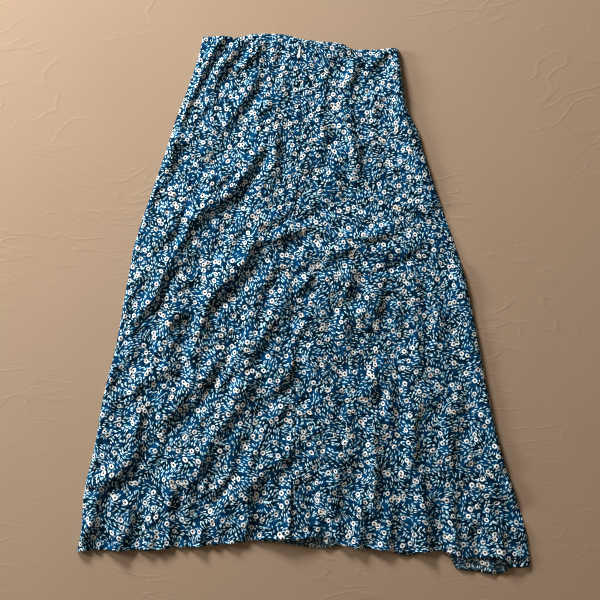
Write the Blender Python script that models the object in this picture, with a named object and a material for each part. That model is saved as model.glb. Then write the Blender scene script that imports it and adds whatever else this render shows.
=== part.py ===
"""Midi skirt laid flat with its back up, built from the pieces that a maker cuts and sews.

Metres, +Z up, +Y towards the waist, +X to the right as it lies. The origin is the middle of
the footprint, on the surface that it lies on. The tables below are in millimetres: across is
measured from the middle, down from the highest point of the waist.
"""
import math
from collections import namedtuple

import bmesh
import bpy
import numpy as np

MM = 0.001

# The garment's reach, and the cloth
WAIST_Y = 445.5            # of the highest point of the waist, from the middle of the footprint
WALL = 1.3                 # the crepe, with the air that it traps
GAP = 0.3                  # between pieces at a seam, and between layers that touch
FACING_WALL = 1.0
FACING_DEPTH = 45.0
SIDE_ROLL = 7.0            # radius of the turned cloth along a side seam
FRONT_INSET = 2.6          # of the under layer from the side seam's outer edge
FACING_INSET = 8.0
LOFT = 2.2                 # air between the layers away from the folds
SOFTNESS = 1.6             # how gently a fold meets the layer below
NARROWEST = 9.5            # spread of a fold that the mesh can follow
SIDE_CHANGE = 60.0         # square millimetres over which a fold turns from soft to sharp
SETTLE = 0.2               # how far the loose layer sinks
FACING_CLEAR = 8.0         # past the facing before the back may sink, and where it has sunk
FACING_FADE = 40.0
FACING_DROP = 1.0          # of the facing below the front's upper edge
SIDE_START = 12.0          # from the front's corners to the side edge's first and last points
SIDE_STOP = 8.0

# The concealed zip in the centre back seam
ZIP_LENGTH = 200.0
TAPE_WALL = 1.0
ZIP_BAND = 20.0            # half the stretch across that the zip stiffens
ZIP_CLEAR = 20.0           # past the zip before the back may sink, and where it has sunk
ZIP_FADE = 60.0
SLIDER_DOWN = 20.5         # of the pull's hinge
SLIDER_TURN = -9.0         # degrees, as the slider lies askew
SLIDER_WIDTH = 5.0
SLIDER_LENGTH = 8.0
SLIDER_HEIGHT = 2.0
SEAM_PARTED = 1.3          # how far each panel stands off the slider's bridge
SEAM_PARTED_RUN = 18.0
BRIDGE_WIDTH = 1.0
BRIDGE_WALL = 0.8
BRIDGE_BORE = 1.0
BRIDGE_SUNK = 0.5          # of the bridge's legs in the slider's body
PULL_LENGTH = 21.0
PULL_NECK = 3.4
PULL_END = 5.0
PULL_WALL = 1.0
PULL_BAR = 0.8             # height of the bar that turns under the bridge
PULL_SLOT_WIDTH = 1.7
PULL_SLOT_LENGTH = 2.6
PULL_CORNER = 0.6
PULL_WAIST = 0.62          # of the neck's width, where the tab is slimmest
PULL_WAIST_DROP = 2.5      # from the slot to there
PULL_SWEEP_ACROSS = (-14, -7, 0, 7)
PULL_SWEEP_DOWN = (-8, 0, 8, 16, 24, 32)
ARC_STEPS = 10
CORNER_STEPS = 3

# Mesh density
SIDE_COLUMNS = 3
PANEL_COLUMNS = 26
PANEL_ROWS = 68
CURVE_STEPS = 10
OUTLINE_STEP = 26.0

# Outlines, each row a point that the line runs through
EdgePoint = namedtuple("EdgePoint", "down across")
LEFT_SIDE = [EdgePoint(*row) for row in (
    (5, -166), (43, -175), (92, -192), (142, -211), (193, -227), (231, -240), (269, -253),
    (345, -278), (406, -290), (526, -312), (602, -331), (678, -344), (762, -363), (823, -367),
    (855, -374),
)]
RIGHT_SIDE = [EdgePoint(*row) for row in (
    (31, 156), (97, 165), (122, 169), (139, 175), (163, 188), (196, 197), (284, 226),
    (348, 249), (408, 267), (477, 282), (568, 299), (686, 325), (734, 340), (823, 367),
    (878, 374),
)]
CENTRE_BACK_SEAM = [EdgePoint(*row) for row in (
    (13, -6), (80, -5), (158, -4.5), (241, -8), (299, -13), (373, -19.5), (469, -16),
    (498, -19), (584, -13.5), (691, -15), (782, -19.5), (830, -19.5),
)]
HemPoint = namedtuple("HemPoint", "across down")
BACK_WAIST = [HemPoint(*row) for row in (
    (-166, 5), (-146, 6), (-120, 8), (-100, 12.5), (-77, 16.5), (-65, 15.5), (-52, 11.5),
    (-34, 9), (-17, 11.5), (-6, 13), (13, 15), (48, 21.5), (68, 25), (101, 27), (126, 26.5),
    (147, 26), (156, 31),
)]
BACK_HEM = [HemPoint(*row) for row in (
    (-374, 855), (-359, 851.5), (-303, 850), (-260, 850), (-211, 846.5), (-128, 840),
    (-87, 835), (-47, 830), (-19.5, 830), (18, 828), (43, 835), (65, 841.5), (103, 847.5),
    (136, 850), (169, 855), (210, 851.5), (240, 855), (253, 859.5), (276, 864), (292, 863),
    (315, 860), (332, 868), (347, 877), (374, 878),
)]
FRONT_WAIST = [HemPoint(*row) for row in (
    (-158, 11), (-125, 12), (-112, 7), (-97, 3.3), (-77, 0), (-49, 0), (-22, 3.3), (-6, 8.2),
    (13, 10.7), (35, 13.2), (65, 17.3), (73, 22.3), (82, 30), (146, 32),
)]
FRONT_HEM = [HemPoint(*row) for row in (
    (-366, 849), (-260, 846), (-128, 836), (-89, 832), (-79, 835.7), (-46, 837.4),
    (-19, 841.5), (4, 844.8), (27, 846.5), (53, 844.8), (70, 841), (103, 844.5), (139, 848.5),
    (152, 856.4), (169, 859.7), (185, 858), (202, 850), (233, 851), (241, 861), (248, 878),
    (263, 883), (284, 886), (307, 889.5), (319, 891), (334, 884.5), (345, 879.5), (366, 876),
)]

# Folds of the upper layer. Each crest runs through three points, downwards or to the left, and
# so does its rise. Soft is the spread on its upper left side, sharp on its lower right.
Fold = namedtuple("Fold", "name x0 d0 x1 d1 x2 d2 soft sharp rise0 rise1 rise2")
FOLDS = [Fold(*row) for row in (
    ("left_hip_sweep", -60, 170, -112, 256, -180, 312, 32, 8, 0.5, 4.5, 4.0),
    ("left_thigh_run", -176, 308, -212, 362, -230, 470, 22, 8, 3.5, 2.5, 0.0),
    ("zip_side_ridge", -46, 135, -42, 190, -52, 245, 12, 7, 0.5, 4.5, 1.0),
    ("hip_slant", -50, 112, -66, 130, -88, 152, 11, 5, 0.0, 3.0, 0.0),
    ("centre_sweep", -34, 280, -92, 360, -142, 435, 22, 10, 0.5, 3.8, 2.5),
    ("centre_sweep_tail", -138, 428, -165, 470, -186, 520, 16, 9, 2.0, 2.0, 0.0),
    ("seam_pucker", -8, 322, -40, 332, -84, 352, 9, 5, 0.5, 4.5, 0.0),
    ("sweep_hollow", -79, 386, -90, 404, -104, 422, 11, 11, 0.0, -3.5, 0.0),
    ("seam_side_bulge", -24, 515, -28, 560, -62, 602, 24, 6, 0.0, 5.0, 1.0),
    ("middle_sweep", -78, 560, -118, 622, -164, 690, 24, 10, 0.5, 3.8, 0.5),
    ("low_sweep", -112, 698, -136, 736, -166, 780, 18, 7, 0.5, 6.0, 1.0),
    ("left_edge_roll", -158, 40, -190, 128, -222, 232, 10, 6, 2.0, 4.5, 2.0),
    ("left_thigh_slant", -262, 440, -278, 470, -290, 505, 12, 6, 0.0, 3.5, 0.0),
    ("left_low_slant", -215, 528, -240, 556, -272, 588, 14, 7, 0.0, 4.0, 0.0),
    ("left_side_roll", -288, 590, -277, 680, -338, 742, 22, 8, 0.5, 5.0, 6.0),
    ("left_corner", -331, 760, -350, 805, -358, 851, 12, 8, 1.0, 6.0, 7.5),
    ("waist_gather_left", -137, 8, -150, 40, -170, 84, 9, 26, 5.0, 6.0, 1.0),
    ("waist_gather_middle", -76, 20, -97, 45, -121, 72, 7, 7, 3.0, 5.0, 0.5),
    ("waist_gather_right", -50, 14, -54, 50, -56, 92, 8, 10, 3.5, 3.0, 0.5),
    ("right_waist_pinch", 142, 32, 120, 50, 98, 68, 10, 6, 4.0, 4.0, 0.5),
    ("right_side_roll_high", 149, 43, 168, 142, 214, 274, 22, 14, 9.5, 10.0, 6.0),
    ("right_side_roll_low", 252, 389, 288, 554, 331, 736, 20, 14, 6.0, 6.0, 6.5),
    ("right_slant", 108, 190, 128, 225, 150, 266, 10, 5, 0.0, 2.5, 0.0),
    ("right_cross_crease", 205, 348, 112, 335, 22, 331, 15, 5, 0.5, 3.2, 0.3),
    ("right_edge_buckle", 205, 440, 222, 462, 236, 500, 12, 6, 0.0, 3.5, 0.0),
    ("right_fold_inner", 116, 640, 115, 700, 112, 770, 12, 6, 0.0, 4.5, 2.0),
    ("right_fold_outer", 186, 600, 181, 670, 178, 730, 12, 6, 0.0, 4.5, 1.0),
    ("hem_wave_1", -282, 750, -290, 800, -294, 852, 14, 7, 0.0, 3.5, 4.5),
    ("hem_wave_2", -212, 740, -222, 795, -228, 850, 13, 7, 0.0, 4.0, 5.0),
    ("hem_wave_3", -160, 785, -166, 815, -170, 845, 9, 7, 0.0, 2.5, 3.5),
    ("hem_wave_4", -84, 725, -94, 785, -98, 840, 14, 8, 0.0, 4.5, 6.0),
    ("hem_wave_5", -18, 735, -23, 782, -27, 832, 13, 7, 0.0, 4.0, 5.0),
    ("hem_wave_6", 88, 745, 94, 800, 94, 848, 14, 8, 0.0, 5.0, 6.5),
    ("hem_wave_7", 142, 720, 141, 785, 138, 852, 11, 7, 0.0, 4.0, 5.0),
    ("hem_wave_8", 192, 750, 202, 805, 204, 855, 15, 9, 0.0, 5.5, 7.5),
    ("hem_wave_9", 240, 745, 248, 805, 254, 860, 13, 8, 0.0, 4.5, 6.0),
    ("hem_wave_10", 310, 775, 318, 820, 322, 862, 13, 8, 0.0, 2.5, 6.0),
    ("right_low_cross", 346, 780, 308, 757, 266, 737, 15, 6, 0.5, 4.0, 0.0),
    ("right_corner_cross", 350, 834, 306, 808, 252, 784, 16, 7, 1.0, 4.5, 0.0),
)]

NAVY_PRINT = (0.045, 0.14, 0.25)
NAVY_FACING = (0.05, 0.16, 0.28)
TAPE_NAVY = (0.02, 0.05, 0.11)
SLIDER_NAVY = (0.03, 0.06, 0.12)
PULL_WHITE = (0.86, 0.88, 0.90)


def clear_scene():
    for thing in list(bpy.data.objects):
        bpy.data.objects.remove(thing, do_unlink=True)


def make_collection(name):
    collection = bpy.data.collections.new(name)
    bpy.context.scene.collection.children.link(collection)
    return collection


def make_material(name, colour, roughness, metallic=0.0):
    material = bpy.data.materials.new(name)
    material.use_nodes = True
    shader = material.node_tree.nodes["Principled BSDF"]
    shader.inputs["Base Color"].default_value = (*colour, 1.0)
    shader.inputs["Roughness"].default_value = roughness
    shader.inputs["Metallic"].default_value = metallic
    return material


def smooth_line(table, at):
    """Value of a two-column table at the given places, on a smooth line with no overshoot."""
    places = np.array([row[0] for row in table], float)
    values = np.array([row[1] for row in table], float)
    slopes = np.diff(values) / np.diff(places)
    tangents = np.concatenate(([slopes[0]], (slopes[:-1] + slopes[1:]) / 2, [slopes[-1]]))
    turns = np.concatenate(([False], slopes[:-1] * slopes[1:] <= 0, [False]))
    tangents[turns] = 0.0
    at = np.clip(np.asarray(at, float), places[0], places[-1])
    span = np.clip(np.searchsorted(places, at, side="right") - 1, 0, len(places) - 2)
    width = places[span + 1] - places[span]
    t = (at - places[span]) / width
    return (
        (2 * t**3 - 3 * t**2 + 1) * values[span]
        + (t**3 - 2 * t**2 + t) * width * tangents[span]
        + (3 * t**2 - 2 * t**3) * values[span + 1]
        + (t**3 - t**2) * width * tangents[span + 1]
    )


def smooth_step(low, high, value):
    t = np.clip((value - low) / (high - low), 0.0, 1.0)
    return t * t * (3.0 - 2.0 * t)


def seam_line(down):
    return smooth_line(CENTRE_BACK_SEAM, down)


def fold_height(fold, across, down):
    """Rise of one fold along the curve through its three points, steeper on its sharp side."""
    soft = max(fold.soft, NARROWEST)
    sharp = max(fold.sharp, NARROWEST)
    nearest = np.full(across.shape, 1e9)
    rise = np.zeros(across.shape)
    spread = np.full(across.shape, soft, float)
    steps = np.linspace(0.0, 1.0, CURVE_STEPS)
    curve_x = fold.x0 * (1 - steps) * (1 - 2 * steps) + 4 * fold.x1 * steps * (1 - steps)
    curve_x += fold.x2 * steps * (2 * steps - 1)
    curve_d = fold.d0 * (1 - steps) * (1 - 2 * steps) + 4 * fold.d1 * steps * (1 - steps)
    curve_d += fold.d2 * steps * (2 * steps - 1)
    for i in range(CURVE_STEPS - 1):
        run_x = curve_x[i + 1] - curve_x[i]
        run_d = curve_d[i + 1] - curve_d[i]
        from_x = across - curve_x[i]
        from_d = down - curve_d[i]
        along = np.clip((from_x * run_x + from_d * run_d) / (run_x**2 + run_d**2), 0.0, 1.0)
        away = np.hypot(from_x - along * run_x, from_d - along * run_d)
        closer = away < nearest
        side = run_d * from_x - run_x * from_d
        leaning = soft + (sharp - soft) * smooth_step(-SIDE_CHANGE, SIDE_CHANGE, side)
        share = (i + along) / (CURVE_STEPS - 1)
        here = fold.rise0 * (1 - share) * (1 - 2 * share) + 4 * fold.rise1 * share * (1 - share)
        here += fold.rise2 * share * (2 * share - 1)
        rise = np.where(closer, here, rise)
        spread = np.where(closer, leaning, spread)
        nearest = np.where(closer, away, nearest)
    return rise * np.exp(-((nearest / spread) ** 2))


def least_lift(across, down):
    """Room that the facing, the zip and its slider need between the two layers."""
    below_edge = down - smooth_line(BACK_WAIST, across)
    beside_zip = np.abs(across - seam_line(down))
    over_facing = 1.0 - smooth_step(FACING_DEPTH + FACING_CLEAR, FACING_DEPTH + FACING_FADE, below_edge)
    in_band = 1.0 - smooth_step(ZIP_BAND, 2.0 * ZIP_BAND, beside_zip)
    over_zip = in_band * (1.0 - smooth_step(ZIP_LENGTH + ZIP_CLEAR, ZIP_LENGTH + ZIP_FADE, down))
    near_slider = in_band * over_facing
    return (
        (FACING_WALL + GAP) * over_facing
        + (TAPE_WALL + 2 * GAP) * over_zip
        + (SLIDER_HEIGHT - TAPE_WALL) * near_slider
    )


def lift(across, down):
    """Height of the upper layer's underside above the under layer."""
    height = np.full(across.shape, LOFT)
    for fold in FOLDS:
        height = height + fold_height(fold, across, down)
    least = least_lift(across, down)
    spare = height - least
    return least + 0.5 * (spare + np.sqrt(spare**2 + SOFTNESS**2)) - SETTLE


def place(across, down, height):
    return (across * MM, (WAIST_Y - down) * MM, height * MM)


def patch(side, seam, waist, hem, u, v):
    """Point of a panel between its four edges, as (across, down)."""
    start = np.array(side(v))
    end = np.array(seam(v))
    top = np.array(waist(u))
    bottom = np.array(hem(u))
    corners = (1 - u) * ((1 - v) * np.array(side(0)) + v * np.array(side(1)))
    corners = corners + u * ((1 - v) * np.array(seam(0)) + v * np.array(seam(1)))
    return (1 - u) * start + u * end + (1 - v) * top + v * bottom - corners


def edge_by_down(table):
    """A panel's long edge, as a function of its share from waist to hem."""
    first = table[0].down
    last = table[-1].down

    def point(v):
        down = first + (last - first) * v
        return float(smooth_line(table, down)), down

    return point


def seam_edge(sign):
    """The centre back seam's edge of one panel, parted a little for the slider's bridge."""
    line = edge_by_down(CENTRE_BACK_SEAM)

    def point(v):
        across, down = line(v)
        parted = SEAM_PARTED * math.exp(-(((down - SLIDER_DOWN) / SEAM_PARTED_RUN) ** 2))
        return across + sign * (GAP / 2 + parted), down

    return point


def edge_by_across(table, start, end):
    """A panel's short edge, from one place across to another."""

    def point(u):
        across = start + (end - start) * u
        return across, float(smooth_line(table, across))

    return point


def back_panel_grid(side_table, sign):
    """Outer and inner points of a back panel, row by row from the waist, from the side seam in."""
    side = edge_by_down(side_table)
    seam = seam_edge(sign)
    waist = edge_by_across(BACK_WAIST, side(0)[0], seam(0)[0])
    hem = edge_by_across(BACK_HEM, side(1)[0], seam(1)[0])
    outer = []
    inner = []
    for row in range(PANEL_ROWS + 1):
        v = row / PANEL_ROWS
        roll_share = SIDE_ROLL / abs(side(v)[0] - seam(v)[0])
        shares = [roll_share + (1 - roll_share) * i / PANEL_COLUMNS for i in range(PANEL_COLUMNS + 1)]
        flat = np.array([patch(side, seam, waist, hem, u, v) for u in shares])
        under = WALL + GAP + lift(flat[:, 0], flat[:, 1])
        outer_row = []
        inner_row = []
        edge_across, edge_down = patch(side, seam, waist, hem, 0.0, v)
        for step in range(SIDE_COLUMNS):
            angle = math.radians(90.0 * step / SIDE_COLUMNS)
            out = SIDE_ROLL * (1 - math.cos(angle))
            within = WALL + (SIDE_ROLL - WALL) * (1 - math.cos(angle))
            outer_row.append((edge_across - sign * out, edge_down, (under[0] + WALL) * math.sin(angle)))
            inner_row.append((edge_across - sign * within, edge_down, under[0] * math.sin(angle)))
        outer_row += [(x, d, z + WALL) for (x, d), z in zip(flat, under)]
        inner_row += [(x, d, z) for (x, d), z in zip(flat, under)]
        outer.append(outer_row)
        inner.append(inner_row)
    return outer, inner


def wall_between(name, outer, inner, material, collection):
    """Closed wall between two grids of points that match row by row."""
    rows = len(outer)
    columns = len(outer[0])
    mesh = bmesh.new()
    tops = [[mesh.verts.new(place(*point)) for point in row] for row in outer]
    bottoms = [[mesh.verts.new(place(*point)) for point in row] for row in inner]
    for r in range(rows - 1):
        for c in range(columns - 1):
            mesh.faces.new((tops[r][c], tops[r][c + 1], tops[r + 1][c + 1], tops[r + 1][c]))
            mesh.faces.new((bottoms[r][c], bottoms[r + 1][c], bottoms[r + 1][c + 1], bottoms[r][c + 1]))
    rim_cells = [(0, c) for c in range(columns)]
    rim_cells += [(r, columns - 1) for r in range(1, rows)]
    rim_cells += [(rows - 1, c) for c in range(columns - 2, -1, -1)]
    rim_cells += [(r, 0) for r in range(rows - 2, 0, -1)]
    for (r0, c0), (r1, c1) in zip(rim_cells, rim_cells[1:] + rim_cells[:1]):
        mesh.faces.new((tops[r0][c0], bottoms[r0][c0], bottoms[r1][c1], tops[r1][c1]))
    bmesh.ops.recalc_face_normals(mesh, faces=mesh.faces)
    return add_object(name, mesh, material, collection)


def add_object(name, mesh, material, collection):
    data = bpy.data.meshes.new(name)
    mesh.to_mesh(data)
    mesh.free()
    data.materials.append(material)
    thing = bpy.data.objects.new(name, data)
    collection.objects.link(thing)
    data.shade_smooth()
    data.set_sharp_from_angle(angle=math.radians(40))
    return thing


def side_points(table, sign, first_down, last_down):
    """Points down a side seam's edge, set in from it."""
    count = max(2, round((last_down - first_down) / OUTLINE_STEP))
    downs = np.linspace(first_down, last_down, count + 1)
    return [(float(x) + sign * FRONT_INSET, float(d)) for x, d in zip(smooth_line(table, downs), downs)]


def edge_points(table):
    """Points along a waist or hem edge, on its smooth line."""
    points = []
    for here, after in zip(table, table[1:]):
        count = max(1, round((after.across - here.across) / OUTLINE_STEP))
        for i in range(count):
            across = here.across + (after.across - here.across) * i / count
            points.append((across, float(smooth_line(table, across))))
    points.append((table[-1].across, table[-1].down))
    return points


def flat_piece(name, outline, bottom, wall, material, collection):
    """A flat cut piece: its outline filled, and given the cloth's wall."""
    curve = bpy.data.curves.new(name, "CURVE")
    curve.dimensions = "2D"
    curve.fill_mode = "BOTH"
    curve.extrude = wall / 2 * MM
    spline = curve.splines.new("POLY")
    spline.points.add(len(outline) - 1)
    for point, (across, down) in zip(spline.points, outline):
        x, y, _ = place(across, down, 0.0)
        point.co = (x, y, 0.0, 1.0)
    spline.use_cyclic_u = True
    curve.materials.append(material)
    piece = bpy.data.objects.new(name, curve)
    piece.location.z = (bottom + wall / 2) * MM
    collection.objects.link(piece)
    return piece


def make_front_panel(material, collection):
    left = side_points(LEFT_SIDE, 1, FRONT_WAIST[0].down + SIDE_START, FRONT_HEM[0].down - SIDE_STOP)
    right = side_points(RIGHT_SIDE, -1, FRONT_WAIST[-1].down + SIDE_START, FRONT_HEM[-1].down - SIDE_STOP)
    outline = edge_points(FRONT_WAIST) + right + edge_points(FRONT_HEM)[::-1] + left[::-1]
    return flat_piece("front_panel", outline, 0.0, WALL, material, collection)


def make_front_facing(material, collection):
    """The strip inside the front's waist, whose upper edge stands above the back's."""
    upper = [
        (across, down + FACING_DROP)
        for across, down in edge_points(FRONT_WAIST)
        if FRONT_WAIST[0].across + FACING_INSET < across < FRONT_WAIST[-1].across - FACING_INSET
    ]
    lower = [(across, down + FACING_DEPTH) for across, down in upper]
    outline = upper + lower[::-1]
    return flat_piece("front_facing", outline, WALL + GAP, FACING_WALL, material, collection)


def make_tape(name, inner, material, collection):
    """One zip tape: the panel's own points beside the seam, set below its underside."""
    first_row = next(i for i, row in enumerate(inner) if row[-1][1] > SLIDER_DOWN + SLIDER_LENGTH)
    last_row = next(i for i, row in enumerate(inner) if row[-1][1] > SLIDER_DOWN + ZIP_LENGTH)
    strip = [row[-2:] for row in inner[first_row:last_row + 1]]
    tops = [[(x, d, z - GAP) for x, d, z in row] for row in strip]
    bottoms = [[(x, d, z - GAP - TAPE_WALL) for x, d, z in row] for row in strip]
    return wall_between(name, tops, bottoms, material, collection)


def panel_top_near_pull():
    """Highest point of the back panels under the pull tab."""
    across = float(seam_line(SLIDER_DOWN))
    places = np.array([(across + x, SLIDER_DOWN + d) for x in PULL_SWEEP_ACROSS for d in PULL_SWEEP_DOWN])
    return WALL + GAP + float(lift(places[:, 0], places[:, 1]).max()) + WALL


def outline_object(name, outlines, half_width):
    """Filled flat curve with holes, as a mesh whose caps are welded."""
    curve = bpy.data.curves.new(name, "CURVE")
    curve.dimensions = "2D"
    curve.fill_mode = "BOTH"
    curve.extrude = half_width * MM
    for outline in outlines:
        spline = curve.splines.new("POLY")
        spline.points.add(len(outline) - 1)
        for point, (x, y) in zip(spline.points, outline):
            point.co = (x * MM, y * MM, 0.0, 1.0)
        spline.use_cyclic_u = True
    flat = bpy.data.objects.new(name + "_outline", curve)
    bpy.context.scene.collection.objects.link(flat)
    bpy.context.view_layer.update()
    evaluated = flat.evaluated_get(bpy.context.evaluated_depsgraph_get())
    mesh = bpy.data.meshes.new_from_object(evaluated)
    bpy.data.objects.remove(flat, do_unlink=True)
    solid = bmesh.new()
    solid.from_mesh(mesh)
    bmesh.ops.remove_doubles(solid, verts=solid.verts, dist=1e-6)
    solid.to_mesh(mesh)
    solid.free()
    return mesh


def arc(centre_x, centre_y, radius, start, end, steps):
    """Points of an arc, in degrees."""
    angles = [math.radians(start + (end - start) * i / steps) for i in range(steps + 1)]
    return [(centre_x + radius * math.cos(a), centre_y + radius * math.sin(a)) for a in angles]


def make_slider(hinge_height, material, collection, cutters):
    """Slider below the parted seam, with the bridge that the pull's bar turns under."""
    body_top = WALL + GAP + FACING_WALL + GAP + SLIDER_HEIGHT
    hinge = place(float(seam_line(SLIDER_DOWN)), SLIDER_DOWN, 0.0)
    bpy.ops.mesh.primitive_cube_add(size=1.0)
    body = bpy.context.active_object
    body.name = "zip_slider"
    for vert in body.data.vertices:
        vert.co.x *= SLIDER_WIDTH * MM
        vert.co.y *= SLIDER_LENGTH * MM
        vert.co.z = vert.co.z * SLIDER_HEIGHT * MM + (body_top - SLIDER_HEIGHT / 2) * MM
    for owner in list(body.users_collection):
        owner.objects.unlink(body)
    collection.objects.link(body)
    outer = BRIDGE_BORE + BRIDGE_WALL
    legs_down = hinge_height - body_top + BRIDGE_SUNK
    profile = arc(0, 0, outer, 0, 180, ARC_STEPS) + [(-outer, -legs_down), (-BRIDGE_BORE, -legs_down)]
    profile += arc(0, 0, BRIDGE_BORE, 180, 0, ARC_STEPS) + [(BRIDGE_BORE, -legs_down), (outer, -legs_down)]
    mesh = outline_object("zip_bridge", [profile], BRIDGE_WIDTH / 2)
    # The profile's own x runs along the zip and its y up, so it is turned to stand.
    for vert in mesh.vertices:
        along, up, side = vert.co
        vert.co = (side, along, up + hinge_height * MM)
    bridge = bpy.data.objects.new("zip_bridge", mesh)
    cutters.objects.link(bridge)
    bridge.hide_render = True
    bridge.display_type = "WIRE"
    for thing in (body, bridge):
        thing.location = (hinge[0], hinge[1], 0.0)
        thing.rotation_euler.z = math.radians(SLIDER_TURN)
    join = body.modifiers.new("bridge", "BOOLEAN")
    join.operation = "UNION"
    join.object = bridge
    body.data.materials.append(material)
    return body


def make_pull(hinge_height, material, collection):
    """Slim teardrop tab with a slot under its bar. Its origin is on the hinge."""
    hinge = place(float(seam_line(SLIDER_DOWN)), SLIDER_DOWN, hinge_height)
    half_neck = PULL_NECK / 2
    half_end = PULL_END / 2
    end_y = -(PULL_LENGTH - half_end)
    half_bar = PULL_BAR / 2
    corner_x = half_neck - PULL_CORNER
    corner_y = half_bar - PULL_CORNER / 2
    top_left = arc(-corner_x, corner_y, PULL_CORNER / 2, 90, 180, CORNER_STEPS)
    top_right = arc(corner_x, corner_y, PULL_CORNER / 2, 0, 90, CORNER_STEPS)
    waist_y = -(half_bar + PULL_SLOT_LENGTH + PULL_WAIST_DROP)
    half_waist = half_neck * PULL_WAIST
    round_end = arc(0, end_y, half_end, 180, 360, ARC_STEPS)
    outline = top_left + [(-half_neck, -PULL_SLOT_LENGTH), (-half_waist, waist_y)] + round_end
    outline += [(half_waist, waist_y), (half_neck, -PULL_SLOT_LENGTH)] + top_right
    half_slot = PULL_SLOT_WIDTH / 2
    slot = [
        (-half_slot, -half_bar),
        (-half_slot, -half_bar - PULL_SLOT_LENGTH),
        (half_slot, -half_bar - PULL_SLOT_LENGTH),
        (half_slot, -half_bar),
    ]
    mesh = outline_object("zip_pull", [outline, slot], PULL_WALL / 2)
    mesh.materials.clear()
    mesh.materials.append(material)
    pull = bpy.data.objects.new("zip_pull", mesh)
    pull.location = hinge
    pull.rotation_euler.z = math.radians(SLIDER_TURN)
    collection.objects.link(pull)
    return pull


def make_skirt():
    clear_scene()
    skirt = make_collection("midi_skirt")
    cutters = make_collection("cutters")
    print_cloth = make_material("printed_crepe", NAVY_PRINT, 0.85)
    facing_cloth = make_material("facing_crepe", NAVY_FACING, 0.85)
    tape_cloth = make_material("zip_tape", TAPE_NAVY, 0.9)
    slider_metal = make_material("painted_slider", SLIDER_NAVY, 0.4)
    pull_paint = make_material("white_pull", PULL_WHITE, 0.35)
    make_front_panel(print_cloth, skirt)
    make_front_facing(facing_cloth, skirt)
    for side_name, side_table, sign in (("left", LEFT_SIDE, -1), ("right", RIGHT_SIDE, 1)):
        outer, inner = back_panel_grid(side_table, sign)
        wall_between(f"back_{side_name}_panel", outer, inner, print_cloth, skirt)
        make_tape(f"zip_tape_{side_name}", inner, tape_cloth, skirt)
    hinge_height = panel_top_near_pull() + GAP + PULL_WALL / 2
    make_slider(hinge_height, slider_metal, skirt, cutters)
    make_pull(hinge_height, pull_paint, skirt)


make_skirt()
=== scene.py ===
"""Midi skirt laid flat with its back up: the printed crepe, its folds, hem, seam and zip pull."""
import math
from collections import namedtuple

import bpy
import numpy as np
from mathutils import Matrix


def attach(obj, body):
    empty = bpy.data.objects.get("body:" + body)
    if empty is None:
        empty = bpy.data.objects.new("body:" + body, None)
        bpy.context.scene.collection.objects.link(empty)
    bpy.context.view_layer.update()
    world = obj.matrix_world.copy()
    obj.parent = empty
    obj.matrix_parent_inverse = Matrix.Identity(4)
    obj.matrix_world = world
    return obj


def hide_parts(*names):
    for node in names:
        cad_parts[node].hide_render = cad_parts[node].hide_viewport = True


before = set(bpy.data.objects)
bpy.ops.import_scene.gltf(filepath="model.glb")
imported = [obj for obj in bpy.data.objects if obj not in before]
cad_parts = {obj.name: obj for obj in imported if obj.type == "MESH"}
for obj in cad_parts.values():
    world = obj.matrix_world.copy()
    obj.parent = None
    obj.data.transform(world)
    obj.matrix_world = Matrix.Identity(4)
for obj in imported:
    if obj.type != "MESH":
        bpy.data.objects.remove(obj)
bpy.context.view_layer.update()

MM = 0.001

# Sizes shared with the solids, in millimetres
WAIST_Y = 445.5
WALL = 1.3
GAP = 0.3
FACING_WALL = 1.0
FACING_DEPTH = 45.0
FACING_DROP = 1.0              # of the facing below the front's upper edge
SIDE_ROLL = 7.0
FRONT_INSET = 2.6
FACING_INSET = 8.0
LOFT = 2.2                     # air between the layers away from the folds
SOFTNESS = 1.6
SIDE_CHANGE = 60.0             # square millimetres over which a fold turns from soft to sharp
SETTLE = 0.2                   # how far the loose layer sinks
FACING_CLEAR = 8.0             # past the facing before the back may sink, and where it has sunk
FACING_FADE = 40.0
ZIP_LENGTH = 200.0
TAPE_WALL = 1.0
ZIP_BAND = 20.0                # half the stretch across that the zip stiffens
ZIP_CLEAR = 20.0
ZIP_FADE = 60.0
SLIDER_DOWN = 20.5
SLIDER_HEIGHT = 2.0
CURVE_STEPS = 10

# The crepe as it is made here
CLOTH = 0.55                   # thickness of the shell
HEM_DEPTH = 9.0                # of the turned hem
HEM_RAISED = 0.45
HEM_SOFTNESS = 0.8             # half the width of the turned hem's step
HEM_GROOVE = 0.5               # depth of the stitched line, its place in the hem, its width
HEM_GROOVE_INSET = 1.0
HEM_GROOVE_WIDTH = 0.9
STITCH_PITCH = 3.0
STITCH_LENGTH = 2.2
STITCH_RADIUS = 0.22
STITCH_PROUD = 0.4             # the thread's height above the cloth, as a share of its radius
STITCH_SIDES = 6
STITCH_RINGS = 4
SEAM_PARTED = 0.9              # how far each panel stands off the slider's bridge
SEAM_PARTED_RUN = 9.0
SEAM_SUNK = 0.6                # how deep the seam's two edges turn in
SEAM_SHOULDER = 1.8
EDGE_TURN = 0.5                # how deep the facing's upper edge turns in, and over what width
EDGE_TURN_WIDTH = 1.2

# The under layer where it shows past the back's hem
PEEK_START = -6.0              # where its rise starts and ends, down from the back's hem
PEEK_STOP = 10.0
PEEK_RISE = 2.2
PEEK_RIPPLE = 1.6
RIPPLE_WIDTH = 5.2             # of the wide ripples, their sway, and the narrow ones
RIPPLE_SWAY = 13.0
RIPPLE_NARROW = 2.9
FRONT_HEM_RAISED = 0.4
LEAST_HEIGHT = 0.15            # of the cloth's underside above the floor
FACING_WAVE = 0.25
FACING_WAVE_SIZE = 9.0

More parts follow.
